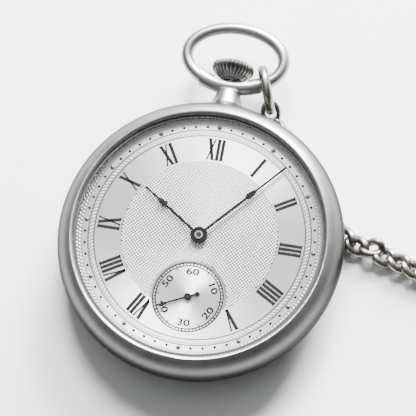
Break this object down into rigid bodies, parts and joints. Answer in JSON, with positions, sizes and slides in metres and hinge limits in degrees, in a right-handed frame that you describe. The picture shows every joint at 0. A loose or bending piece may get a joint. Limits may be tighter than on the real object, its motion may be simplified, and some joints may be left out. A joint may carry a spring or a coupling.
{
  "type": "pocket watch",
  "caption": "Open-faced, crown-wound pocket watch with a sub-dial for the seconds, a hinged oval bow, and a curb chain held by a bolt ring, lying on its back.",
  "frame": {"origin": "centre of the flat foot of the case back, where the watch rests", "axes": "+Z out of the dial, +Y towards twelve o'clock and the crown, +X towards three o'clock"},
  "size_m": [0.1081, 0.0605, 0.0108],
  "materials": {
    "case_steel": "satin, finely circular-brushed",
    "aged_steel": "darkened, worn",
    "chain_steel": "oxidised, polished on the high spots",
    "crystal_glass": "polished",
    "black_rubber": "matte",
    "dial_silver": "silvered, sunray-brushed and engine-turned",
    "pip_silver": "polished",
    "hand_black": "gloss black",
    "gilt_brass": "satin",
    "nickel": "satin nickel plate",
    "screw_steel": "polished",
    "spring_steel": "tempered, polished",
    "ruby": "polished"
  },
  "bodies": {
    "case": {"case_band": "case_steel", "bezel": "case_steel", "crystal": "crystal_glass", "crystal_gasket": "black_rubber", "case_back": "case_steel", "back_gasket": "black_rubber", "movement_ring": "nickel", "case_screws": "screw_steel", "pendant": "case_steel", "stem_sleeve": "nickel", "dial": "dial_silver", "dial_pips": "pip_silver", "main_plate": "nickel", "barrel_bridge": "nickel", "train_bridge": "nickel", "balance_cock": "nickel", "pallet_bridge": "nickel", "jewels": "ruby", "bridge_screws": "screw_steel", "crown_wheel_core": "screw_steel", "click_spring": "spring_steel", "hairspring": "spring_steel", "bolt_ring": "chain_steel", "ring_spring": "spring_steel", "ring_link": "chain_steel", "chain_run": "chain_steel", "chain_coil": "chain_steel", "bar_link": "chain_steel", "chain_bar": "chain_steel"},
    "bow": {"bow": "case_steel", "bow_pins": "screw_steel"},
    "crown_seal": {"crown_gasket": "black_rubber"},
    "winder": {"crown": "aged_steel", "stem": "screw_steel"},
    "slider": {"sliding_pinion": "screw_steel"},
    "winding_pinion": {"winding_pinion": "screw_steel"},
    "crown_wheel": {"crown_wheel": "screw_steel"},
    "ratchet": {"ratchet_wheel": "screw_steel", "barrel_arbor": "screw_steel", "ratchet_screw": "screw_steel"},
    "click": {"click": "screw_steel"},
    "lever": {"setting_lever": "screw_steel"},
    "centre": {"centre_wheel": "gilt_brass", "cannon_pinion": "screw_steel", "minute_hand": "hand_black"},
    "hours": {"hour_wheel": "gilt_brass", "hour_hand": "hand_black"},
    "minute_wheel": {"minute_wheel": "gilt_brass"},
    "barrel": {"barrel": "gilt_brass", "mainspring": "spring_steel"},
    "third": {"third_wheel": "gilt_brass"},
    "fourth": {"fourth_wheel": "gilt_brass", "second_hand": "hand_black"},
    "escape": {"escape_wheel": "screw_steel"},
    "pallet": {"pallet_fork": "screw_steel"},
    "balance": {"balance_wheel": "gilt_brass", "balance_staff": "screw_steel"},
    "regulator": {"regulator": "screw_steel"},
    "ring_bolt": {"ring_bolt": "chain_steel"}
  },
  "joints": [
    {"name": "bow_swing", "type": "hinge", "parent": "case", "child": "bow", "pos_m": [0, 0.02764, 0.0056], "axis": [1, 0, 0], "range_deg": [-90, 72]},
    {"name": "crown_pull", "type": "slide", "parent": "case", "child": "crown_seal", "axis": [0, 1, 0], "range_m": [0, 0.0012]},
    {"name": "crown_turn", "type": "hinge", "parent": "crown_seal", "child": "winder", "pos_m": [0, 0.029, 0.0056], "axis": [0, 1, 0], "continuous": true},
    {"name": "slider_shift", "type": "slide", "parent": "winder", "child": "slider", "axis": [0, 1, 0], "range_m": [-0.0017, 0]},
    {"name": "lever_swing", "type": "hinge", "parent": "case", "child": "lever", "pos_m": [-0.0033, 0.0144, 0.0074], "axis": [0, 0, 1], "range_deg": [0, 21.6]},
    {"name": "winding_pinion_turn", "type": "hinge", "parent": "case", "child": "winding_pinion", "pos_m": [0, 0.0124, 0.0056], "axis": [0, 1, 0], "continuous": true},
    {"name": "crown_wheel_turn", "type": "hinge", "parent": "case", "child": "crown_wheel", "pos_m": [0, 0.009, 0.0035], "axis": [0, 0, 1], "continuous": true},
    {"name": "ratchet_turn", "type": "hinge", "parent": "case", "child": "ratchet", "pos_m": [0.00614, 0.0043, 0.0035], "axis": [0, 0, 1], "continuous": true},
    {"name": "click_swing", "type": "hinge", "parent": "case", "child": "click", "pos_m": [0.0119, 0.0024, 0.0035], "axis": [0, 0, 1], "range_deg": [-12, 0], "stiffness_Nm_per_rad": 0.000002, "springref_deg": 17.19},
    {"name": "minute_turn", "type": "hinge", "parent": "case", "child": "centre", "pos_m": [0, 0, 0.007], "axis": [0, 0, 1], "continuous": true},
    {"name": "hour_turn", "type": "hinge", "parent": "case", "child": "hours", "pos_m": [0, 0, 0.008], "axis": [0, 0, 1], "continuous": true},
    {"name": "minute_wheel_turn", "type": "hinge", "parent": "case", "child": "minute_wheel", "pos_m": [-0.00192, 0.00333, 0.0072], "axis": [0, 0, 1], "continuous": true},
    {"name": "barrel_turn", "type": "hinge", "parent": "case", "child": "barrel", "pos_m": [0.00614, 0.0043, 0.005], "axis": [0, 0, 1], "continuous": true},
    {"name": "third_turn", "type": "hinge", "parent": "case", "child": "third", "pos_m": [-0.00308, -0.00549, 0.005], "axis": [0, 0, 1], "continuous": true},
    {"name": "seconds_turn", "type": "hinge", "parent": "case", "child": "fourth", "pos_m": [0, -0.01008, 0.005], "axis": [0, 0, 1], "continuous": true},
    {"name": "escape_turn", "type": "hinge", "parent": "case", "child": "escape", "pos_m": [0.00401, -0.0119, 0.0058], "axis": [0, 0, 1], "continuous": true},
    {"name": "pallet_swing", "type": "hinge", "parent": "case", "child": "pallet", "pos_m": [0.0063, -0.01013, 0.0058], "axis": [0, 0, 1], "range_deg": [-4, 4]},
    {"name": "balance_swing", "type": "hinge", "parent": "case", "child": "balance", "pos_m": [0.00939, -0.00775, 0.005], "axis": [0, 0, 1], "range_deg": [-270, 270]},
    {"name": "regulator_shift", "type": "hinge", "parent": "case", "child": "regulator", "pos_m": [0.00939, -0.00775, 0.0032], "axis": [0, 0, 1], "range_deg": [-20, 20]},
    {"name": "ring_bolt_slide", "type": "hinge", "parent": "case", "child": "ring_bolt", "pos_m": [0.00587, 0.02715, 0.0048], "axis": [0.9367, 0.3502, 0], "range_deg": [0, 45], "stiffness_Nm_per_rad": 0.0005, "springref_deg": -17.19, "deforming": ["ring_spring"]}
  ],
  "couplings": [
    {"joint": "slider_shift", "follows": "crown_pull", "ratio": -1.4167},
    {"joint": "lever_swing", "follows": "crown_pull", "rad_per_m": 314.13},
    {"joint": "winding_pinion_turn", "follows": "crown_turn", "ratio": 1},
    {"joint": "crown_wheel_turn", "follows": "crown_turn", "ratio": 0.57692},
    {"joint": "ratchet_turn", "follows": "crown_turn", "ratio": -0.44118},
    {"joint": "minute_turn", "follows": "seconds_turn", "ratio": 0.016667},
    {"joint": "hour_turn", "follows": "seconds_turn", "ratio": 0.0013889},
    {"joint": "minute_wheel_turn", "follows": "seconds_turn", "ratio": -0.0055556},
    {"joint": "barrel_turn", "follows": "seconds_turn", "ratio": -0.0025641},
    {"joint": "third_turn", "follows": "seconds_turn", "ratio": -0.13333},
    {"joint": "escape_turn", "follows": "seconds_turn", "ratio": -10}
  ]
}
